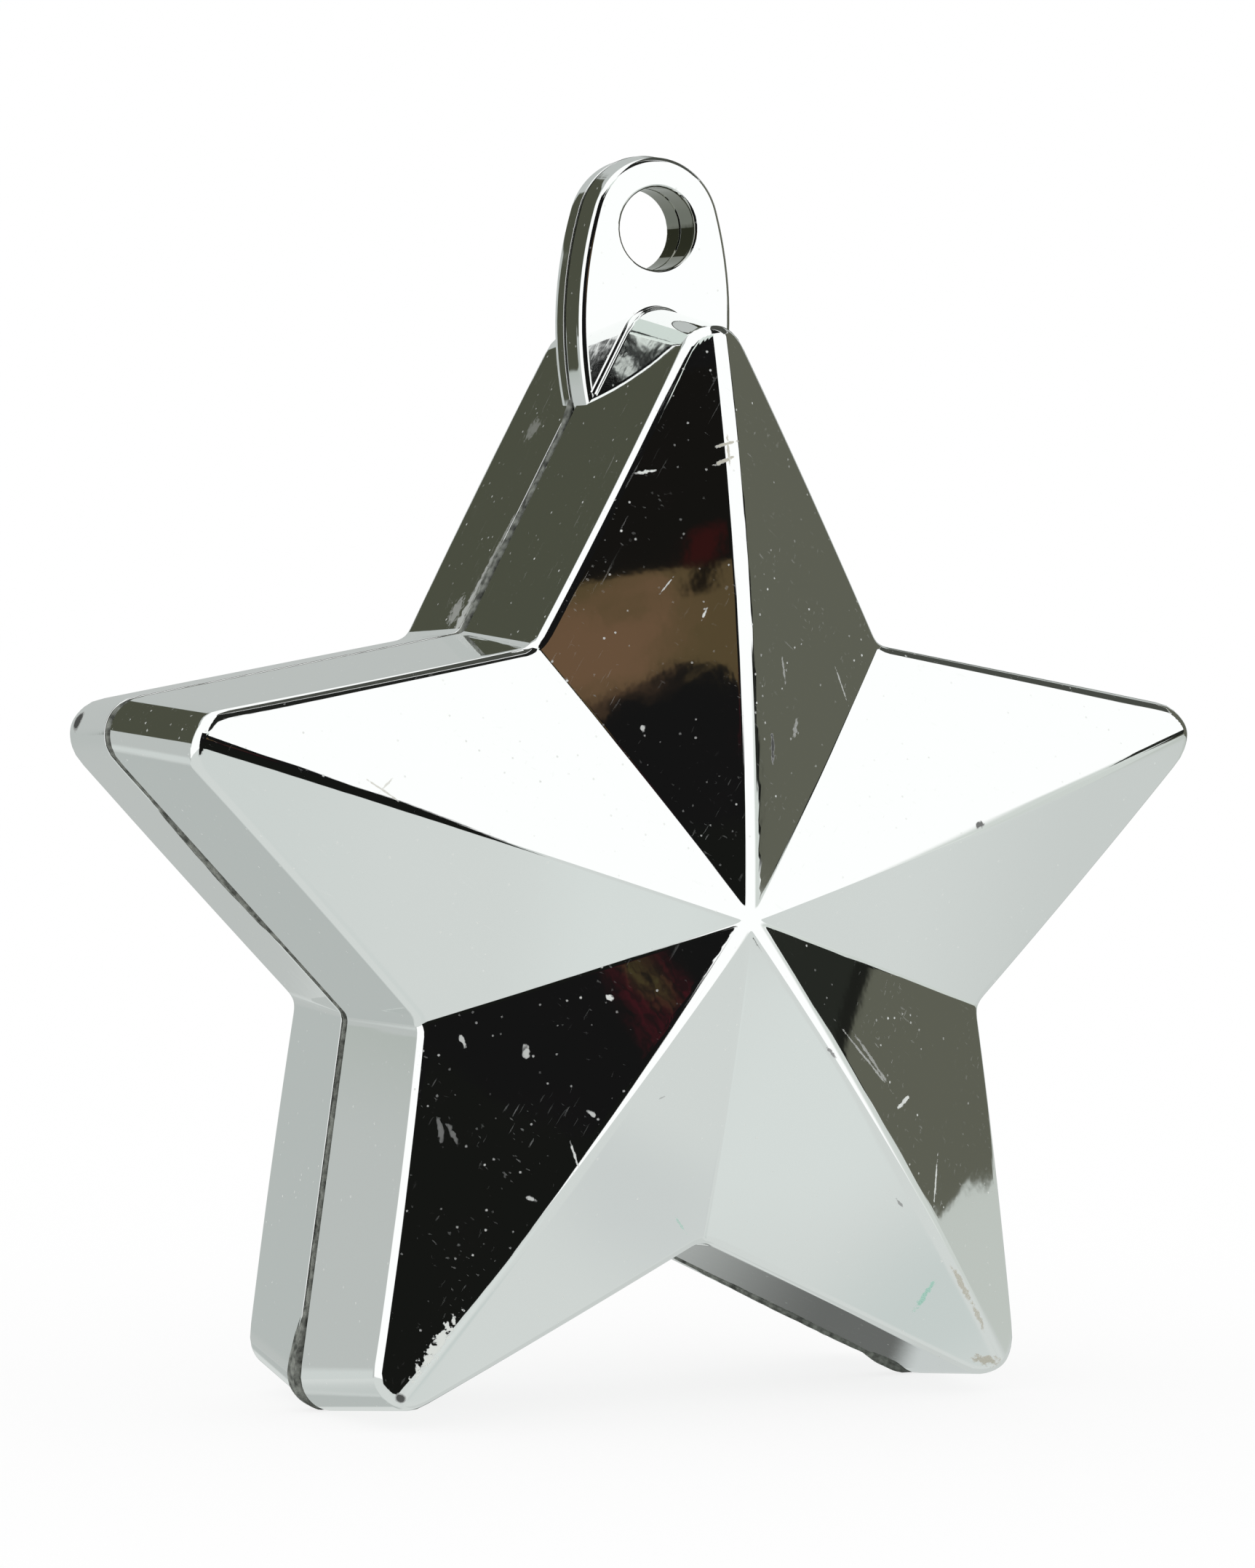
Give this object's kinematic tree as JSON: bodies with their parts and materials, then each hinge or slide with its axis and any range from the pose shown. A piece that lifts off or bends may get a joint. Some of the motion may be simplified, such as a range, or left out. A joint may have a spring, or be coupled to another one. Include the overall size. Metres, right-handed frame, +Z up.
{
  "type": "balloon weight",
  "caption": "Star-shaped balloon weight: two faceted, mirror-plated half shells welded along a seam round a sand filling, with a rounded hanging tab and ribbon hole on top.",
  "frame": {"origin": "on the surface it stands on, midway between the two foot tips, in the parting plane", "axes": "+Z up through the hanging tab, +X to the right seen from the front, the front faces -Y"},
  "size_m": [0.0934, 0.04, 0.1012],
  "materials": {
    "plated_shell": "moulded plastic with a bright silver mirror plating",
    "weld_cement": "rough set weld flash, grey",
    "ballast_sand": "dry fine sand"
  },
  "bodies": {
    "root": {"front_shell": "plated_shell", "back_shell": "plated_shell", "weld_bead": "weld_cement", "sand_ballast": "ballast_sand"}
  },
  "joints": []
}
